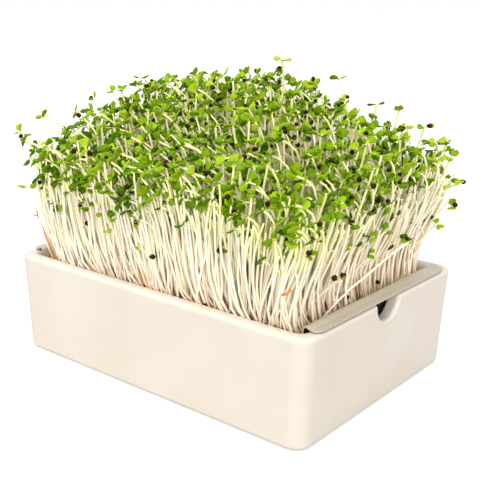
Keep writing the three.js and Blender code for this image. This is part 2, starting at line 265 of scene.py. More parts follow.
def blanchedStem():
    # Stems drawn up in low light: watery ivory, golden at the foot and pale green near the leaves, waxy
    material, tree, shader = newMaterial("blanchedStem")
    look = {"foot": "#F8E2B8", "ivory": "#FDEEDA", "upper": "#FDF4DC", "neck": "#FCF9BA",
            "paintedShadeFoot": "#AC7A3A", "paintedShadeMiddle": "#F8E8C4", "paintedShadeTop": "#96943A",
            "stemWidth": 1.0, "streakStretch": 0.06, "streaks": 0.12}
    rise = addNode(tree, "Attribute", {"attribute_name": "tone"}).outputs["Fac"]
    tint = addRamp(tree, rise, [(0.0, look["foot"]), (0.16, look["ivory"]), (0.68, look["upper"]),
                                (1.0, look["neck"])])
    place = addNode(tree, "TexCoord").outputs["Object"]
    across = addNode(tree, "Mapping", inputs={"Scale": (1.0, 1.0, look["streakStretch"])},
                     links={"Vector": place})
    streaks = addNode(tree, "TexNoise", inputs={"Scale": 1000 / look["stemWidth"] / 2, "Detail": 1.0},
                      links={"Vector": across.outputs["Vector"]})
    shade = addRamp(tree, streaks.outputs["Fac"], [(0.3, "#EADFC0"), (0.5, "#FBF8EE"), (0.7, "#FFFFFF")])
    mix = addNode(tree, "Mix", {"data_type": "RGBA", "blend_type": "MULTIPLY"},
                  inputs={"Factor": look["streaks"]},
                  links={6: tint.outputs["Color"], 7: shade.outputs["Color"]})
    # Stems far inside the stand get painted shade, golden brown at the foot and green at the top, standing
    # in for the dim light that reaches them between other stems and leaves; the top's own tips get none
    depth = addNode(tree, "Attribute", {"attribute_name": "depth"}).outputs["Fac"]
    low = addNode(tree, "MapRange",
                  inputs={"From Min": 0.03, "From Max": 0.4, "To Min": 0.8, "To Max": 0.35},
                  links={"Value": rise})
    below = addNode(tree, "MapRange",
                    inputs={"From Min": 0.72, "From Max": 0.92, "To Min": 1.0, "To Max": 0.05},
                    links={"Value": rise})
    inner = addNode(tree, "Math", {"operation": "MULTIPLY"},
                    links={0: low.outputs["Result"], 1: below.outputs["Result"]})
    paintedShadeAmount = addNode(tree, "Math", {"operation": "MULTIPLY"}, links={0: depth, 1: inner.outputs["Value"]})
    warm = addRamp(tree, rise, [(0.05, look["paintedShadeFoot"]), (0.35, look["paintedShadeMiddle"]), (0.8, look["paintedShadeTop"])])
    golden = addNode(tree, "Mix", {"data_type": "RGBA"},
                     links={"Factor": paintedShadeAmount.outputs["Value"], 6: mix.outputs[2], 7: warm.outputs["Color"]})
    tree.links.new(golden.outputs[2], shader.inputs["Base Color"])
    setInputs(shader, {"Roughness": 0.5, "IOR": 1.4, "Specular IOR Level": 0.15,
                       "Subsurface Weight": 0.25, "Subsurface Radius": (0.5, 0.45, 0.4),
                       "Subsurface Scale": 1.0 * mm})
    return material


def leafMaterial(name, dark, middle, light, vein, roughness):
    # Young seed leaf: soft satin cuticle over spring green, a pale midrib, each leaf a little different
    material, tree, shader = newMaterial(name)
    tone = addNode(tree, "Attribute", {"attribute_name": "tone"}).outputs["Fac"]
    tint = addRamp(tree, tone, [(0.0, dark), (0.55, middle), (1.0, light)])
    across = addNode(tree, "SeparateXYZ", links={"Vector": addNode(tree, "UVMap").outputs["UV"]})
    offCentre = addNode(tree, "Math", {"operation": "SUBTRACT"}, {1: 0.5}, {0: across.outputs["X"]})
    distance = addNode(tree, "Math", {"operation": "ABSOLUTE"}, links={0: offCentre.outputs["Value"]})
    midrib = addNode(tree, "MapRange",
                     inputs={"From Min": 0.02, "From Max": 0.1, "To Min": 0.12, "To Max": 0.0},
                     links={"Value": distance.outputs["Value"]})
    petiole = addNode(tree, "MapRange",
                      inputs={"From Min": 0.18, "From Max": 0.34, "To Min": 1.0, "To Max": 0.0},
                      links={"Value": across.outputs["Y"]})
    pale = addNode(tree, "Math", {"operation": "MAXIMUM"},
                   links={0: midrib.outputs["Result"], 1: petiole.outputs["Result"]})
    mix = addNode(tree, "Mix", {"data_type": "RGBA"},
                  links={"Factor": pale.outputs["Value"], 6: tint.outputs["Color"]})
    mix.inputs[7].default_value = linear(vein)
    tree.links.new(mix.outputs[2], shader.inputs["Base Color"])
    setInputs(shader, {"Roughness": roughness, "IOR": 1.4, "Specular IOR Level": 0.06,
                       "Subsurface Weight": 0.45, "Subsurface Radius": (0.5, 1.0, 0.15),
                       "Subsurface Scale": 1.0 * mm})
    return material


def seedHull():
    # Shed seed coat: dark red-brown, pitted, with a dull sheen
    material, shader = grained(
        "seedHull", {"Scale": 900.0, "Detail": 2.0},
        [(0.3, "#1E0C02"), (0.55, "#341806"), (0.8, "#5E3412")], relief=(0.5, 0.2))
    setInputs(shader, {"Roughness": 0.6, "Specular IOR Level": 0.1})
    return material


def rustStem():
    # Withered sprout tissue, orange-red in uneven patches, with the stem's own waxy skin
    material, shader = grained("rustStem", {"Scale": 300.0}, [(0.35, "#C0562A"), (0.65, "#E09250")])
    shader.inputs["Roughness"].default_value = 0.5
    return material


creamGlaze = glazedStoneware()
stainless = brushedStainless()
paintedShadeSteel = shadedSteel()
coir = coirMat()
stemSkin = blanchedStem()
leafTop = leafMaterial("seedLeafTop", "#3C5C04", "#759505", "#9CB824", "#C4D648", 0.4)
leafUnder = leafMaterial("seedLeafUnder", "#567A0C", "#80A012", "#A8C230", "#C8D85A", 0.5)
hullSkin = seedHull()
rust = rustStem()
print("materials made")


# Camera, floor and light

view = {"azimuth": 38.3, "elevation": 15.8, "roll": 1.28, "pixels": 480, "focalPixels": 837.0,
        "position": (255.9, -319.6, 177.1)}


def makeCamera():
    azimuth, elevation, roll = (math.radians(view[k]) for k in ("azimuth", "elevation", "roll"))
    back = Vector((math.sin(azimuth) * math.cos(elevation), -math.cos(azimuth) * math.cos(elevation),
                   math.sin(elevation)))
    side = Vector((math.cos(azimuth), math.sin(azimuth), 0))
    up = back.cross(side)
    right = math.cos(roll) * side + math.sin(roll) * up
    top = math.cos(roll) * up - math.sin(roll) * side
    data = bpy.data.cameras.new("studioCamera")
    data.sensor_width = 36
    data.lens = view["focalPixels"] / view["pixels"] * data.sensor_width
    data.clip_start = 0.01
    camera = bpy.data.objects.new("studioCamera", data)
    putInScene(camera)
    turned = Matrix((right, top, back)).transposed().to_4x4()
    camera.matrix_world = Matrix.Translation(Vector(view["position"]) * mm) @ turned
    bpy.context.scene.camera = camera


light = {"sky": 0.78, "key": 1.62, "keyAngle": 40, "keyFrom": (0.62, -0.71, 0.33),
         "top": 2.0, "topFrom": (0.05, -0.35, 0.93), "topAngle": 30, "table": "#CCCCCC", "tableGlow": 0.5}


def makeSun(name, strength, comesFrom, angle):
    data = bpy.data.lights.new(name, "SUN")
    data.energy = strength
    data.angle = math.radians(angle)
    lamp = bpy.data.objects.new(name, data)
    lamp.rotation_euler = Vector(comesFrom).to_track_quat("Z", "Y").to_euler()
    putInScene(lamp)


def makeStudio():
    makeSun("keyLight", light["key"], light["keyFrom"], light["keyAngle"])
    makeSun("topLight", light["top"], light["topFrom"], light["topAngle"])
    world = bpy.data.worlds.new("whiteStudio")
    world.use_nodes = True
    tree = world.node_tree
    sky = tree.nodes["Background"]
    setInputs(sky, {"Color": linear("#FFFFFF"), "Strength": light["sky"]})
    seen = addNode(tree, "Background", inputs={"Color": linear("#FFFFFF"), "Strength": 1.0})
    ray = addNode(tree, "LightPath")
    bright = addNode(tree, "Math", {"operation": "MAXIMUM"},
                     links={0: ray.outputs["Is Camera Ray"], 1: ray.outputs["Is Glossy Ray"]})
    both = addNode(tree, "MixShader",
                   links={0: bright.outputs["Value"], 1: sky.outputs["Background"],
                          2: seen.outputs["Background"]})
    tree.links.new(both.outputs["Shader"], tree.nodes["World Output"].inputs["Surface"])
    bpy.context.scene.world = world
    bpy.context.scene.view_settings.view_transform = "Standard"
    bpy.ops.mesh.primitive_plane_add(size=12, location=(0, 0, -0.0002))  # just under the tray's foot
    floor = takePrimitive("studioFloor")
    placeInMesh(floor)
    paper, tree, shader = newMaterial("whiteStudioFloor")
    setInputs(shader, {"Base Color": linear(light["table"]), "Roughness": 0.9, "Specular IOR Level": 0.0,
                       "Emission Color": linear("#FFFFFF")})
    seenRay = addNode(tree, "LightPath").outputs["Is Camera Ray"]
    glow = addNode(tree, "Math", {"operation": "MULTIPLY"}, {1: light["tableGlow"]}, {0: seenRay})
    tree.links.new(glow.outputs["Value"], shader.inputs["Emission Strength"])
    floor.data.materials.append(paper)


makeCamera()
makeStudio()
print("camera and studio made")


# Ceramic tray: a tapered block with round corners, hollowed, notched and rounded all over

traySize = {"wall": 7.0, "floor": 6.0, "taper": 1.9, "outerCorner": 8.0, "innerCorner": 3.5,
            "rounding": 2.6, "roundSteps": 6, "foot": 2.4, "footSteps": 4, "hollowOver": 4,
            "notchRadius": 9.5, "notchBottom": 41.0, "notchLip": 2.3, "notchOutside": 2.4,
            "notchInside": 1.4, "notchOver": 1.5}
# How the notch cutter's points are shared out from its bottom to its top: wall, lip and open top
notchShares = {"wall": 0.55, "lip": 0.25, "open": 0.2}


def taperedBlock(name, halfX, halfY, low, high, taper, corner, steps=8):
    bpy.ops.mesh.primitive_cube_add(size=1, location=(0, 0, (low + high) / 2 * mm))
    block = takePrimitive(name)
    block.scale = (2 * halfX * mm, 2 * halfY * mm, (high - low) * mm)
    placeInMesh(block)
    middle = (low + high) / 2 * mm
    selectWhere(block, "vertices", lambda vertex: vertex.co.z < middle)
    inEdit(bpy.ops.transform.resize, value=((halfX - taper) / halfX, (halfY - taper) / halfY, 1),
           center_override=(0, 0, low * mm))
    selectWhere(block, "edges", lambda edge: abs(edgeAlong(block, edge).z) > 0.8)
    inEdit(bpy.ops.mesh.bevel, offset=corner * mm, segments=steps, affect="EDGES")
    return block


def makeTray():
    low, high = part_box("tray")
    halfX, halfY, height = high.x / mm, high.y / mm, high.z / mm
    wall, taper = traySize["wall"], traySize["taper"]
    tray = taperedBlock("ceramicTray", halfX, halfY, 0, height, taper, traySize["outerCorner"])
    rise = height - traySize["floor"]
    over = traySize["hollowOver"]
    slope = taper / height
    hollow = taperedBlock("hollow", halfX - wall + slope * over, halfY - wall + slope * over,
                          traySize["floor"], height + over, slope * (rise + over),
                          traySize["innerCorner"])
    cutWith(tray, hollow)
    selectWhere(tray, "edges", lambda edge: edgeMiddle(tray, edge).z < 0.01 * mm)
    inEdit(bpy.ops.mesh.bevel, offset=traySize["foot"] * mm, segments=traySize["footSteps"],
           affect="EDGES")
    roundEdges(tray, traySize["rounding"], traySize["roundSteps"], 45, clamp=False)
    applyAll(tray)
    for side in (-1, 1):
        cutWith(tray, notchCutter(side, halfX, height))
    smooth(tray, 30)
    even = tray.modifiers.new("even", "WEIGHTED_NORMAL")
    even.keep_sharp = True
    applyAll(tray)
    tray.data.materials.append(creamGlaze)
    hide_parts("tray")
    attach(tray, "root")


def notchStations(halfX):
    # The cutter's places along X, each with how far it flares there, so that both edges come out round
    inner, outer = halfX - traySize["wall"], halfX
    inside, outside = traySize["notchInside"], traySize["notchOutside"]
    turns = [math.radians(a) for a in (0, 22.5, 45, 67.5, 90)]
    stations = [(inner - traySize["notchOver"], inside)]
    stations += [(inner + inside * (1 - math.cos(a)), inside * (1 - math.sin(a))) for a in turns]
    stations += [(outer - outside * (1 - math.cos(a)), outside * (1 - math.sin(a)))
                 for a in reversed(turns)]
    return stations + [(outer + traySize["notchOver"], outside)]


def notchReach(share, spread, rim):
    # Angle up from level and distance from the notch's centre to its wall, for a share from bottom to top
    lip = traySize["notchLip"]
    radius = traySize["notchRadius"] + spread
    lipZ = rim - lip
    lipY = math.sqrt((radius + lip) ** 2 - lipZ ** 2)
    lipStart = math.atan2(lipZ, lipY)
    lipEnd = lipStart + math.asin(lip / (radius + lip))
    if share < notchShares["wall"]:
        return -math.pi / 2 + (lipStart + math.pi / 2) * share / notchShares["wall"], radius
    if share < notchShares["wall"] + notchShares["lip"]:
        angle = lipStart + (lipEnd - lipStart) * (share - notchShares["wall"]) / notchShares["lip"]
        along = lipY * math.cos(angle) + lipZ * math.sin(angle)
        return angle, along - math.sqrt(max(lip ** 2 - (radius + lip) ** 2 + along ** 2, 0))
    above = share - notchShares["wall"] - notchShares["lip"]
    angle = lipEnd + (math.pi / 2 - lipEnd) * above / notchShares["open"]
    return angle, min(lipY / max(math.cos(angle), 0.01), (rim + 6) / math.sin(max(angle, 0.1)))


def notchCutter(side, halfX, height):
    stations = notchStations(halfX)
    bpy.ops.mesh.primitive_cylinder_add(vertices=96, radius=1, depth=2, rotation=(0, math.pi / 2, 0))
    cutter = takePrimitive("notchCutter")
    placeInMesh(cutter)
    selectWhere(cutter, "edges", lambda edge: abs(edgeAlong(cutter, edge).x) > 0.9)
    inEdit(bpy.ops.mesh.subdivide, number_cuts=len(stations) - 2)
    centre = traySize["notchBottom"] + traySize["notchRadius"]
    rim = height + 0.05 - centre
    for vertex in cutter.data.vertices:
        x, spread = stations[round((vertex.co.x + 1) / 2 * (len(stations) - 1))]
        share = math.acos(max(min(-vertex.co.z, 1), -1)) / math.pi
        angle, reach = notchReach(share, spread, rim)
        y = math.copysign(reach * math.cos(angle), vertex.co.y)
        vertex.co = Vector((side * x, y * (abs(vertex.co.y) > 1e-5), centre + reach * math.sin(angle))) * mm
    faceOutwards(cutter)
    return cutter


makeTray()
print("tray made")


# Steel insert: a floor plane with its ends turned up, over the hump and out onto the rim

insertSize = {"sheet": 0.8, "web": 82.1, "bend": 2.0, "bendSteps": 5, "flangeCorner": 5.5,
              "cornerSteps": 6, "gap": 0.3, "softEdge": 0.18, "webZone": 1.5, "webTop": 0.6,
              "hole": 1.8, "holeSides": 12, "holeColumns": 15, "holeRows": 11,
              "fieldX": 140, "fieldY": 100}
# The flange's crown, in mm beyond the web and above the rim
flangeCrown = [(0, 0.3), (0.25, 0.8), (0.8, 1.1), (1.4, 1.0), (2.2, 0.7), (3.0, 0.32), (3.8, 0.08),
               (4.6, 0.0)]


def makeInsert():
    low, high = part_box("insert")
    halfY = high.y / mm
    tip = high.x / mm
    floorZ = low.z / mm
    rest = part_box("tray")[1].z / mm + insertSize["gap"]
    web = insertSize["web"]
    bpy.ops.mesh.primitive_plane_add(size=1, location=(0, 0, floorZ * mm))
    insert = takePrimitive("steelInsert")
    insert.scale = (2 * web * mm, 2 * halfY * mm, 1)
    placeInMesh(insert)
    for side in (-1, 1):
        reach, height = web, floorZ
        for out, up in flangeCrown + [(tip - web, 0.0)]:
            here = Vector((side * reach * mm, 0, height * mm))
            selectWhere(insert, "edges", lambda edge: (edgeMiddle(insert, edge) - here).length < 0.02 * mm
                        and abs(edgeAlong(insert, edge).y) > 0.9)
            step = Vector((side * (web + out - reach), 0, rest + up - height)) * mm
            inEdit(bpy.ops.mesh.extrude_region_move, TRANSFORM_OT_translate={"value": step})
            reach, height = web + out, rest + up
    selectWhere(insert, "edges", lambda edge: abs(edgeAlong(insert, edge).y) > 0.9
                and abs(edgeMiddle(insert, edge).z - floorZ * mm) < 0.01 * mm)
    inEdit(bpy.ops.mesh.bevel, offset=insertSize["bend"] * mm, segments=insertSize["bendSteps"],
           affect="EDGES")
    selectWhere(insert, "vertices", lambda vertex: abs(vertex.co.x) > (tip - 0.1) * mm)
    inEdit(bpy.ops.mesh.bevel, offset=insertSize["flangeCorner"] * mm,
           segments=insertSize["cornerSteps"], affect="VERTICES")
    faceOutwards(insert)
    return insert


def finishInsert(insert):
    sheet = insert.modifiers.new("sheet", "SOLIDIFY")
    sheet.thickness = insertSize["sheet"] * mm
    sheet.offset = 1 if isFacingUp(insert) else -1
    roundEdges(insert, insertSize["softEdge"], 2, 60)
    applyAll(insert)
    cutWith(insert, drainHoles())
    smooth(insert, 40)
    for material in (stainless, paintedShadeSteel):
        insert.data.materials.append(material)
    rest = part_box("tray")[1].z + insertSize["gap"] * mm
    web, zone, top = (insertSize[key] * mm for key in ("web", "webZone", "webTop"))
    for face in insert.data.polygons:
        # Only the flanges' undersides and the webs' outer sides get the painted shade
        reach = abs(face.center.x)
        outward = math.copysign(1, face.center.x) * face.normal.x
        isWeb = face.center.z < rest + top and reach < web + zone and outward > 0.5
        face.material_index = int(reach > web - zone and (face.normal.z < -0.3 or isWeb))
    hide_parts("insert")
    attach(insert, "root")


def isFacingUp(sheet):
    floor = min(sheet.data.polygons, key=lambda face: face.center.length)
    return floor.normal.z > 0


def drainHoles():
    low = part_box("insert")[0].z
    bpy.ops.mesh.primitive_cylinder_add(vertices=insertSize["holeSides"], location=(0, 0, low),
                                        radius=insertSize["hole"] * mm, depth=4 * mm)
    holes = takePrimitive("drainHoles")
    placeInMesh(holes)
    for axis, count, span in ((0, insertSize["holeColumns"], insertSize["fieldX"]),
                              (1, insertSize["holeRows"], insertSize["fieldY"])):
        row = holes.modifiers.new("row", "ARRAY")
        row.count = count
        row.use_relative_offset = False
        row.use_constant_offset = True
        step = [0, 0, 0]
        step[axis] = span / (count - 1) * mm
        row.constant_offset_displace = step
    applyAll(holes)
    holes.location = (-insertSize["fieldX"] / 2 * mm, -insertSize["fieldY"] / 2 * mm, 0)
    placeInMesh(holes)
    return holes


finishInsert(makeInsert())
print("insert made")


# Growing mat: a pressed fibre pad with an uneven top and frayed edges

matSize = {"cuts": 40, "seed": 311, "fray": 0.9, "dents": 0.7, "skin": 0.1}


def makeMat():
    low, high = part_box("growing_mat")
    middle = (low + high) / 2
    bpy.ops.mesh.primitive_cube_add(size=1, location=middle)
    mat = takePrimitive("fibreMat")
    mat.scale = high - low
    placeInMesh(mat)
    editMesh(mat)
    inEdit(bpy.ops.mesh.select_all, action="SELECT")
    inEdit(bpy.ops.mesh.subdivide, number_cuts=matSize["cuts"])
    draw = makeDraw(matSize["seed"])
    skin = matSize["skin"] * mm
    for vertex in mat.data.vertices:
        isTop = vertex.co.z > high.z - skin
        inward = matSize["fray"] * mm * draw()
        if abs(vertex.co.x) > high.x - skin:
            vertex.co.x -= math.copysign(inward, vertex.co.x)
        if abs(vertex.co.y) > high.y - skin:
            vertex.co.y -= math.copysign(inward, vertex.co.y)
        if isTop:
            vertex.co.z -= matSize["dents"] * mm * draw()
    smooth(mat, 180)
    mat.data.materials.append(coir)
    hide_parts("growing_mat")
    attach(mat, "root")


makeMat()
print("mat made")


# Planting rule, the same as the solids follow: a place in the sown field is (u, v), each from -1 to 1

field = {"halfX": 74, "halfY": 55, "columns": 7, "rows": 5, "seed": 20117, "top": 43.5,
         "outerSprouts": 4, "innerSprouts": 3, "spread": 0.6, "tries": 60, "stemStart": 62,
         "leafReach": 4.6, "rootTries": 8, "rootStep": 0.8, "rootEdge": 0.98, "neckDrop": 6}
# The least distance in mm between a part of one sprout and a part of another
clearances = [("wings", "wings", 8.2), ("wings", "neck", 5.2), ("wings", "shank", 5.2),
              ("neck", "neck", 2.2)]
canopy = {"height": 136, "frontDrop": 33, "frontPower": 1.7, "endDrop": 9, "rightDrop": 13,
          "backDrop": 1, "leanX": 17, "leanY": 11, "driftX": 2, "driftY": 1, "bendPower": 1.6}
sproutRule = {"tilt": (0.05, 0.3), "fold": (0.2, 0.55), "size": (0.9, 1.12), "rise": (-6, 7),
              "short": 12, "scatter": (-5, 5), "middleAt": 0.8, "middleShare": 0.4}
# Sprouts that stand out in the photo: the tuft's column and row, and the head in mm
strays = [
    (3, 3, (13, 18, 151)),
    (4, 4, (20, 60, 140)),
    (6, 4, (84, 58, 114)),
    (6, 4, (89, 58, 94)),
    (0, 4, (-72, 52, 137)),
    (0, 0, (-93, -56, 83)),
]


def canopyHeight(u, v):
    front = canopy["frontDrop"] * ((1 - v) / 2) ** canopy["frontPower"]
    ends = canopy["endDrop"] * abs(u) ** 3 + canopy["rightDrop"] * max(u, 0) ** 2
    return canopy["height"] - front - ends - canopy["backDrop"] * max(v, 0) ** 4


def flow(u, v, z):
    # Where the stem rooted at (u, v) passes the height z, as the stand leans out on all sides
    up = max((z - field["top"]) / (canopyHeight(u, v) - field["top"]), 0)
    lean = up ** canopy["bendPower"] if u < 0 else up
    sweep = 1 - max(1 - up, 0) ** canopy["bendPower"]
    return Vector((field["halfX"] * u + (canopy["leanX"] * u * abs(u) - canopy["driftX"]) * lean,
                   field["halfY"] * v + (canopy["leanY"] * v * abs(v) - canopy["driftY"]) * sweep,
                   z))


def separation(a, b, c, d):
    # The least distance between the lines a to b and c to d
    along, across, start = b - a, d - c, a - c
    aa, cc, ac = along.dot(along), across.dot(across), along.dot(across)
    fa, fc = along.dot(start), across.dot(start)
    spread = aa * cc - ac * ac
    s = min(max((ac * fc - fa * cc) / spread, 0), 1) if spread > 1e-9 else 0
    t = min(max((ac * s + fc) / cc, 0), 1)
    s = min(max((ac * t - fa) / aa, 0), 1)
    return (start + along * s - across * t).length


def makeSprout(draw, u, v, head):
    turn, tilt = draw(0, 2 * math.pi), draw(*sproutRule["tilt"])
    fold, size = draw(*sproutRule["fold"]), draw(*sproutRule["size"])
    middleZ = field["top"] + (head.z - field["top"]) * sproutRule["middleAt"]
    middle = flow(u, v, middleZ) + (head - flow(u, v, head.z)) * sproutRule["middleShare"]
    middle.z = middleZ
    wing = Vector((math.cos(turn), math.sin(turn), 0)) * field["leafReach"] * size
    lift = Vector((0, 0, 1))
    return {"u": u, "v": v, "head": head, "turn": turn, "tilt": tilt, "fold": fold, "size": size,
            "wings": (head - wing + lift, head + wing + lift), "neck": (middle, head),
            "shank": (flow(u, v, field["stemStart"]), middle)}


def isClear(sprout, placed):
    return all(separation(*one[first], *two[second]) > least
               for other in placed for one, two in ((sprout, other), (other, sprout))
               for first, second, least in clearances)


def plantField():
    draw = makeDraw(field["seed"])
    columns, rows = field["columns"], field["rows"]
    tufts = [{"column": column, "row": row, "u": (column + 0.5) * 2 / columns - 1,
              "v": (row + 0.5) * 2 / rows - 1, "sprouts": []}
             for row in range(rows) for column in range(columns)]
    placed = []
    for column, row, head in strays:
        tuft = tufts[row * columns + column]
        tuft["sprouts"].append(makeSprout(draw, tuft["u"], tuft["v"], Vector(head)))
        tuft["sprouts"][-1]["stray"] = True
        placed.append(tuft["sprouts"][-1])
    for tuft in tufts:
        tuft["outer"] = tuft["column"] in (0, columns - 1) or tuft["row"] in (0, rows - 1)
        wanted = field["outerSprouts"] if tuft["outer"] else field["innerSprouts"]
        for _ in range(field["tries"]):
            if len(tuft["sprouts"]) >= wanted:
                break
            u = tuft["u"] + draw(-field["spread"], field["spread"]) / columns
            v = tuft["v"] + draw(-field["spread"], field["spread"]) / rows
            z = canopyHeight(u, v) + draw(*sproutRule["rise"]) - sproutRule["short"] * draw() ** 3
            head = flow(u, v, z) + aside(draw, sproutRule["scatter"])
            sprout = makeSprout(draw, u, v, head)
            if isClear(sprout, placed):
                tuft["sprouts"].append(sprout)
                placed.append(sprout)
    return tufts


# Seed leaf, modelled once in a few shapes and copied to every sprout

leafShape = {"columns": 4, "thickness": 0.55, "shoulder": 0.75, "rise": 0.3, "cupWidth": 2.7,
             "rows": [(0, 0.42), (1.1, 0.45), (1.45, 1.55), (2.4, 2.35), (3.9, 2.55), (5.2, 1.95)]}
leafKinds = [
    {"name": "open", "cup": -0.5, "droop": 0.4, "twist": 0.0, "wide": 1.0, "notch": 0.9},
    {"name": "cupped", "cup": 0.6, "droop": 0.1, "twist": 0.2, "wide": 0.95, "notch": 0.3},
    {"name": "drooping", "cup": -0.9, "droop": 1.5, "twist": -0.2, "wide": 0.95, "notch": 0.5},
    {"name": "folded", "cup": 1.6, "droop": 0.6, "twist": 0.35, "wide": 0.9, "notch": 0.3},
    {"name": "twisted", "cup": -0.3, "droop": 1.0, "twist": -0.6, "wide": 0.8, "notch": 0.2},
    {"name": "flat", "cup": -0.6, "droop": -0.2, "twist": 0.1, "wide": 1.05, "notch": 1.1},
]


def leafPoint(across, row, kind):
    # across runs from -1 to 1 over the leaf; the last row is the notched tip
    y, half = leafShape["rows"][row]
    if row == len(leafShape["rows"]) - 1:
        centred = 2 * abs(across)
        y -= kind["notch"] * max(1 - centred, 0) + leafShape["shoulder"] * max(centred - 1, 0)
    x = half * across * kind["wide"]
    length = leafShape["rows"][-1][0]
    z = kind["cup"] * (x / leafShape["cupWidth"]) ** 2 - kind["droop"] * (y / length) ** 2
    z += leafShape["rise"] * y / length
    turn = kind["twist"] * y / length
    return Vector((x * math.cos(turn), y, z + x * math.sin(turn))) * mm


def giveSkins(piece, index):
    for material in sproutSkins:
        piece.data.materials.append(material)
    for face in piece.data.polygons:
        face.material_index = index
        face.use_smooth = True
    piece.data.attributes.new("tone", "FLOAT", "POINT")


def makeLeafKind(kind):
    last = len(leafShape["rows"]) - 1
    bpy.ops.mesh.primitive_grid_add(x_subdivisions=leafShape["columns"], y_subdivisions=last, size=2)
    leaf = takePrimitive("leaf_" + kind["name"])
    for vertex in leaf.data.vertices:
        vertex.co = leafPoint(vertex.co.x, round((vertex.co.y + 1) / 2 * last), kind)
    giveSkins(leaf, 1)
    blade = leaf.modifiers.new("blade", "SOLIDIFY")
    blade.thickness = leafShape["thickness"] * mm
    blade.offset = -1
    blade.material_offset = 1
    applyAll(leaf)
    return leaf


hullShape = {"radius": 1.1, "split": 0.3, "splitWidth": 0.3, "flat": 0.88, "sizes": (0.95, 1.25),
             "onTip": (0, 0, 0.3), "fromHead": 2.2, "beside": (0.6, -0.9, 0)}


def makeHull():
    bpy.ops.mesh.primitive_ico_sphere_add(subdivisions=2, radius=hullShape["radius"] * mm)
    hull = takePrimitive("hull")
    for vertex in hull.data.vertices:
        split = math.exp(-(vertex.co.x / (hullShape["splitWidth"] * mm)) ** 2) * (vertex.co.z > 0)
        vertex.co *= 1 - hullShape["split"] * split
        vertex.co.y *= hullShape["flat"]
    giveSkins(hull, 3)
    return hull


def copyPiece(master, place, tone=0.5):
    twin = master.copy()
    twin.data = master.data.copy()
    twin.data.transform(place)
    twin.data.attributes["tone"].data.foreach_set("value", [tone] * len(twin.data.vertices))
    putInScene(twin)
    return twin


# A sprout's stem is one spline of its tuft's curve

stemShape = {"foot": 41.0, "points": 11, "crowdEnds": 0.07, "radius": 0.58, "neck": 0.92,
             "kickPower": 3, "hookStart": 0.68, "hookPower": 1.9, "hookRise": 0.3,
             "wallX": 80.3, "wallY": 58.6, "rim": 53.0}


def stemPath(sprout):
    head = sprout["head"]
    natural = head - sprout["hook"]
    offset = natural - flow(sprout["u"], sprout["v"], natural.z)
    points = []
    for step in range(stemShape["points"]):
        even = step / (stemShape["points"] - 1)
        t = even - stemShape["crowdEnds"] * math.sin(2 * math.pi * even)
        z = stemShape["foot"] + (head.z - stemShape["foot"]) * t
        point = flow(sprout["u"], sprout["v"], z) + offset * t ** sprout["bend"]
        point += (sprout["kick"] * (1 - t) ** stemShape["kickPower"] * (t < 1)
                  + sprout["bow"] * math.sin(math.pi * t))
        point += sprout["sway"] * math.sin(2 * math.pi * t)
        crook = max(t - stemShape["hookStart"], 0) / (1 - stemShape["hookStart"])
        point += sprout["hook"] * crook ** stemShape["hookPower"]
        point.z = z + stemShape["hookRise"] * sprout["hook"].length * math.sin(math.pi * crook)
        if z < stemShape["rim"]:
            point.x = max(min(point.x, stemShape["wallX"]), -stemShape["wallX"])
            point.y = max(min(point.y, stemShape["wallY"]), -stemShape["wallY"])
        points.append(point)
    return points


def addStem(curve, points, thickness):
    spline = curve.splines.new("POLY")
    spline.points.add(len(points) - 1)
    for index, (slot, point) in enumerate(zip(spline.points, points)):
        share = index / (len(points) - 1)
        slot.co = (*(point * mm), 1)
        slot.radius = thickness * (1 - (1 - stemShape["neck"]) * share)
    spline.use_smooth = True


def newStemCurve(name):
    curve = bpy.data.curves.new(name, "CURVE")
    curve.dimensions = "3D"
    curve.bevel_depth = stemShape["radius"] * mm
    curve.bevel_resolution = 1
    curve.use_fill_caps = True
    for material in sproutSkins:
        curve.materials.append(material)
    stems = bpy.data.objects.new(name, curve)
    putInScene(stems)
    return stems


def headPlace(sprout):
    # Where the pair of leaves sits: on the stem's tip, turned about it
    place = Matrix.Translation(sprout["head"] * mm)
    if "up" in sprout:
        lean = Vector((0, 0, 1)).rotation_difference(sprout["up"])
        return place @ lean.to_matrix().to_4x4() @ Matrix.Rotation(sprout["turn"], 4, "Z")
    return place @ Matrix.Rotation(sprout["turn"], 4, "Z") @ Matrix.Rotation(sprout["tilt"], 4, "X")


pairing = {"second": (0.74, 1.0), "swing": (-0.3, 0.3), "pitch": (-0.15, 0.15), "tone": (-0.12, 0.12)}


def leafPair(sprout, draw):
    # One leaf of a pair is often the smaller, and neither sits quite straight
    pair = []
    for side, share in ((-1, 1.0), (1, draw(*pairing["second"]))):
        kind = leaves[int(draw(0, len(leaves)))]
        swing = Matrix.Rotation(side * math.pi / 2 + draw(*pairing["swing"]), 4, "Z")
        pitch = Matrix.Rotation(math.atan(sprout["fold"]) + draw(*pairing["pitch"]), 4, "X")
        scale = Matrix.Scale(sprout["size"] * share, 4)
        tone = min(max(sprout["tone"] + draw(*pairing["tone"]), 0), 1)
        pair.append(copyPiece(kind, headPlace(sprout) @ swing @ pitch @ scale, tone))
    return pair


def hullAt(spot, draw):
    tumble = Matrix.Rotation(draw(0, 6.28), 4, "X") @ Matrix.Rotation(draw(0, 6.28), 4, "Z")
    scale = Matrix.Scale(draw(*hullShape["sizes"]), 4)
    return copyPiece(hullMaster, Matrix.Translation(spot * mm) @ tumble @ scale)


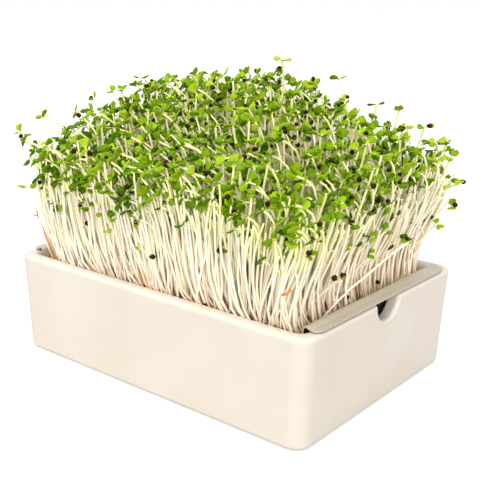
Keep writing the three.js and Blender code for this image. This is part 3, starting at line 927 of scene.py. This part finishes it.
# The sprouts added to the solids' own: how many with leaves and how many bare a tuft gets, by its place
extra = {"near": (50, 75), "outer": (36, 14), "inner": (24, 8), "seed": 90533, "seedStep": 7919,
         "strides": (0.7549, 0.5698), "crowding": 1.8,
         "reachLeft": 97, "reachRight": 93, "reachY": 66, "scatter": (-4, 4),
         "rise": (-12, 6), "short": 16, "shortRight": 24, "bareRise": (-17, -4), "bareRight": 5,
         "leftward": (-0.78, -0.62, 0), "hookReach": 18, "hookPower": 1.6, "bareHook": 0.3,
         "leftHook": 0.2, "hookLead": 0.6, "hookLean": 0.06, "bend": 1.8,
         "lean": ((-0.6, 0.5), (-0.8, 0.35), (0.5, 1.1)), "openShare": 0.8, "open": (0.0, 0.8),
         "closed": (1.0, 2.4), "leaf": (0.72, 1.14), "lowLeaf": 0.8, "lowBy": 14,
         "tone": (-0.35, 0.5), "paintedShadeRise": 30, "hullShare": 0.2, "shedHulls": 3, "shedFrom": 10}
settled = {"nearRight": 16, "farRight": 6, "farStart": 0.4, "left": 11, "farLeft": 0.7,
           "inward": 20, "solidsInward": 5}
dress = {"footDrift": (8.5, 0.5, 0), "rightDrift": 1.1, "cornerDrift": 8, "kickX": (-9, 9),
         "kickY": (-8, 8), "bow": (-1.8, 1.8), "rightBow": 4, "sway": (-1, 1), "edge": 3.5,
         "edgeFade": 8, "thick": (0.82, 1.1), "strayHook": 10, "hook": (0, 6), "bend": 2.6,
         "tonePower": 1.2}

# Low sprouts at the near sides: the head in mm, the seed hulls still on it, and the leaves' size
lowSprouts = [
    ((42, -63, 77), 1, 0.45), ((87, -61, 84), 1, 0.6), ((55, -63, 86), 1, 0.6), ((52, -63, 91), 2, 0.6),
    ((-42, -62, 73), 1, 0.4), ((-42, -62, 83), 1, 0.6), ((-5, -63, 80), 1, 0.45), ((-6, -62, 70), 0, 0.45),
    ((2, -62, 67), 1, 0.35), ((-26, -62, 75), 0, 0.8), ((-28, -63, 82), 0, 0.7), ((-19, -63, 81), 0, 0.7),
    ((-56, -63, 79), 0, 0.75), ((-71, -62, 81), 0, 0.8), ((-6, -63, 86), 0, 0.8), ((86, -12, 74), 0, 0.6),
    ((87, -14, 82), 0, 0.8), ((87, -2, 83), 0, 0.7), ((87, 49, 76), 0, 0.8), ((87, 63, 82), 1, 0.9),
    ((86, -31, 81), 0, 0.45), ((86, -38, 69), 2, 0.55),
]
lowLook = {"bend": 2.2, "leanX": (-0.2, 0.6), "leanY": (-0.9, -0.2), "fold": (0.1, 0.8),
           "tone": (0.35, 0.9)}
longStem = {"head": (89, 15, 74), "root": (0.97, -0.8), "hulls": 1, "size": 0.6, "bend": 1.1}


def sowIn(tuft, index, start):
    # An even scatter over the tuft's cell; at the field's edge the seeds lie thicker towards that edge
    place = []
    for key, count, stride, first in zip(("column", "row"), (field["columns"], field["rows"]),
                                         extra["strides"], start):
        share = (first + index * stride) % 1
        if tuft[key] == 0:
            share **= extra["crowding"]
        elif tuft[key] == count - 1:
            share = 1 - share ** extra["crowding"]
        place.append((tuft[key] + share) * 2 / count - 1)
    return place


def settle(u, v, inward):
    # How far, in mm, the real heads stand from the planting rule's own place
    lift = settled["nearRight"] * max(-v, 0) * max(u, 0)
    lift -= settled["farRight"] * max(v, 0) * min(max(u + settled["farStart"], 0), 1)
    lift += settled["left"] * min(u, 0) ** 2 * (1 - settled["farLeft"] * max(v, 0))
    return Vector((inward * min(u, 0) ** 2, 0, lift))


def moreSprouts(tuft, draw):
    # The rest of a tuft: sprouts with leaves, and bare stems whose heads other leaves would hide
    sprouts = []
    isNear = tuft["row"] == 0 or tuft["column"] == field["columns"] - 1
    heads, bare = extra["near" if isNear else "outer" if tuft["outer"] else "inner"]
    total = heads + bare
    start = (draw(), draw())
    for index in range(total):
        u, v = sowIn(tuft, index, start)
        isBare = index * heads // total == (index + 1) * heads // total  # spread evenly among the rest
        full = canopyHeight(u, v)
        if isBare:
            rise = draw(*extra["bareRise"]) - extra["bareRight"] * max(u, 0)
            hooked = extra["bareHook"]
        else:
            farRight = max(u, 0) * (1 + v) / 2
            short = extra["short"] + extra["shortRight"] * farRight
            rise = draw(*extra["rise"]) - short * draw() ** (4 - 2 * farRight)
            hooked = 1 + extra["leftHook"] * max(-u, 0)
        z = full + rise
        head = flow(u, v, z) + settle(u, v, settled["inward"]) + aside(draw, extra["scatter"])
        hook = Vector(extra["leftward"]) * extra["hookReach"] * draw() ** extra["hookPower"] * hooked
        head += hook * extra["hookLead"]
        head.x = min(max(head.x, -extra["reachLeft"]), extra["reachRight"])
        head.y = min(max(head.y, -extra["reachY"]), extra["reachY"])
        up = Vector([draw(*limits) for limits in extra["lean"]]) + hook * extra["hookLean"]
        sprouts.append({
            "u": u, "v": v, "head": head, "up": up.normalized(), "turn": draw(0, 2 * math.pi),
            "fold": draw(*extra["open"]) if draw() < extra["openShare"] else draw(*extra["closed"]),
            "size": draw(*extra["leaf"]) * (extra["lowLeaf"] if z < full - extra["lowBy"] else 1.0),
            "bend": extra["bend"], "hook": hook,
            # Heads lower in the canopy get a darker leaf tone: painted shade from the leaves above them
            "tone": 0.5 + (z - full) / extra["paintedShadeRise"] + draw(*extra["tone"]),
            "hulls": int(draw() < extra["hullShare"] and not isBare), "bare": isBare,
        })
    return sprouts


def rootOf(head):
    # The place in the field whose stem passes nearest to a head
    u, v = 0, 0
    step, edge = field["rootStep"], field["rootEdge"]
    for _ in range(field["rootTries"]):
        miss = head - flow(u, v, head.z)
        u = min(max(u + miss.x / field["halfX"] * step, -edge), edge)
        v = min(max(v + miss.y / field["halfY"] * step, -edge), edge)
    return u, v


def lowSproutsOf(tuft, draw):
    sprouts = []
    known = [(Vector(head), rootOf(Vector(head)), hulls, size, lowLook["bend"])
             for head, hulls, size in lowSprouts]
    known.append((Vector(longStem["head"]), *(longStem[key] for key in ("root", "hulls", "size", "bend"))))
    for head, (u, v), hulls, size, bend in known:
        column = int((u + 1) / 2 * field["columns"])
        row = int((v + 1) / 2 * field["rows"])
        if (column, row) == (tuft["column"], tuft["row"]):
            sprouts.append({
                "u": u, "v": v, "head": head, "turn": draw(0, 2 * math.pi), "size": size, "bend": bend,
                "up": Vector((draw(*lowLook["leanX"]), draw(*lowLook["leanY"]), 0.8)).normalized(),
                "fold": draw(*lowLook["fold"]), "tone": draw(*lowLook["tone"]), "hulls": hulls})
    return sprouts


def dressSprout(sprout, draw):
    # How one stem runs: its foot kicks aside, it bows and sways, and its neck hooks over
    u, v = sprout["u"], sprout["v"]
    drift = Vector(dress["footDrift"]) * (1 - max(u, 0) * dress["rightDrift"])
    drift.y -= dress["cornerDrift"] * (max(u, 0) * max(v, 0)) ** 2
    sprout["kick"] = drift + aside(draw, dress["kickX"], dress["kickY"])
    sprout["bow"] = aside(draw, dress["bow"])
    sprout["bow"].x -= dress["rightBow"] * max(u, 0) ** 2
    sprout["sway"] = aside(draw, dress["sway"])
    inside = min(field["halfX"] * (1 - abs(u)), field["halfY"] * (1 - abs(v)))
    # How far inside the stand the stem is, which sets how much painted shade its colour gets
    sprout["depth"] = min(max((inside - dress["edge"]) / dress["edgeFade"], 0), 1)
    sprout["thick"] = draw(*dress["thick"])
    hook = Vector(extra["leftward"]) * (dress["strayHook"] if "stray" in sprout else draw(*dress["hook"]))
    for key, value in (("hook", hook), ("bend", dress["bend"]), ("tone", draw() ** dress["tonePower"]),
                       ("hulls", 0), ("bare", False)):
        sprout.setdefault(key, value)


def growTuft(tuft):
    draw = makeDraw(extra["seed"] + extra["seedStep"] * (tuft["row"] * field["columns"] + tuft["column"]))
    name = f"sprouts_{tuft['row'] + 1}_{tuft['column'] + 1}"
    stems = newStemCurve(name)
    parts = []
    for sprout in tuft["sprouts"]:
        if "stray" not in sprout:
            sprout["head"] += settle(sprout["u"], sprout["v"], settled["solidsInward"])
    everyone = tuft["sprouts"] + moreSprouts(tuft, draw) + lowSproutsOf(tuft, draw)
    for index, sprout in enumerate(everyone):
        dressSprout(sprout, draw)
        path = stemPath(sprout)
        addStem(stems.data, path, sprout["thick"])
        parts += [] if sprout["bare"] else leafPair(sprout, draw)
        if index == 1:  # one hull still on a leaf's tip
            reach = field["leafReach"] * sprout["size"]
            out = Vector((math.cos(sprout["turn"]), math.sin(sprout["turn"]), sprout["fold"])) * reach
            parts.append(hullAt(sprout["head"] + out + Vector(hullShape["onTip"]), draw))
        for _ in range(sprout["hulls"]):
            spread = Vector((draw(-1, 1), draw(-1, 0.5), draw(0, 1))).normalized()
            parts.append(hullAt(sprout["head"] + spread * hullShape["fromHead"], draw))
        if tuft["outer"] and index - extra["shedFrom"] in range(extra["shedHulls"]):
            parts.append(hullAt(path[int(draw(1, 4))] + Vector(hullShape["beside"]), draw))
    finishTuft(tuft, stems, parts, name, [sprout["depth"] for sprout in everyone])


def finishTuft(tuft, stems, parts, name, depths):
    # Stems, leaves and hulls become one piece; the stems carry how high and how far into the stand they
    # are, and the second sets their painted shade
    pick(stems)
    bpy.ops.object.convert(target="MESH")
    piece = bpy.context.object
    reach = (canopyHeight(tuft["u"], tuft["v"]) - field["neckDrop"] - field["top"]) * mm
    rise = [min(max((vertex.co.z - field["top"] * mm) / reach, 0), 1) for vertex in piece.data.vertices]
    piece.data.attributes.new("tone", "FLOAT", "POINT").data.foreach_set("value", rise)
    eachStem = len(piece.data.vertices) // len(depths)
    depth = [depths[index // eachStem] for index in range(len(piece.data.vertices))]
    piece.data.attributes.new("depth", "FLOAT", "POINT").data.foreach_set("value", depth)
    for part in parts:
        part.select_set(True)
    bpy.ops.object.join()
    piece.name = name
    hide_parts(f"sprout_tuft_{tuft['row'] + 1}_{tuft['column'] + 1}")
    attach(piece, "root")


# The one stunted sprout gone orange-red, at the near side's left end, and a broken stub of another

rustSprout = {"foot": (-69, -57.5, 41), "knee": (-71.5, -61.5, 62), "head": (-76.5, -63, 72),
              "tips": [(-79, -64, 72.5), (-76, -64, 75)], "radius": 0.42, "points": 9, "prong": 0.9,
              "stub": [(75.6, -63.4, 66.5), (77.7, -63.7, 67.4), (79.7, -63.7, 69.4)], "stubThick": 1.3}


def makeRustSprout():
    foot, knee, head = (Vector(rustSprout[key]) for key in ("foot", "knee", "head"))
    stem = newStemCurve("rustSprout")
    stem.data.materials.clear()
    stem.data.materials.append(rust)
    stem.data.bevel_depth = rustSprout["radius"] * mm
    rise = [k / (rustSprout["points"] - 1) for k in range(rustSprout["points"])]
    addStem(stem.data, [foot.lerp(knee, t).lerp(knee.lerp(head, t), t) for t in rise], 1)
    for tip in rustSprout["tips"]:
        addStem(stem.data, [head, head.lerp(Vector(tip), 0.5), Vector(tip)], rustSprout["prong"])
    addStem(stem.data, [Vector(point) for point in rustSprout["stub"]], rustSprout["stubThick"])
    pick(stem)
    bpy.ops.object.convert(target="MESH")
    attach(stem, "root")


sproutSkins = (stemSkin, leafTop, leafUnder, hullSkin)
leaves = [makeLeafKind(kind) for kind in leafKinds]
hullMaster = makeHull()
for tuft in plantField():
    growTuft(tuft)
for master in leaves + [hullMaster]:
    bpy.data.objects.remove(master, do_unlink=True)
makeRustSprout()
print("sprouts planted")
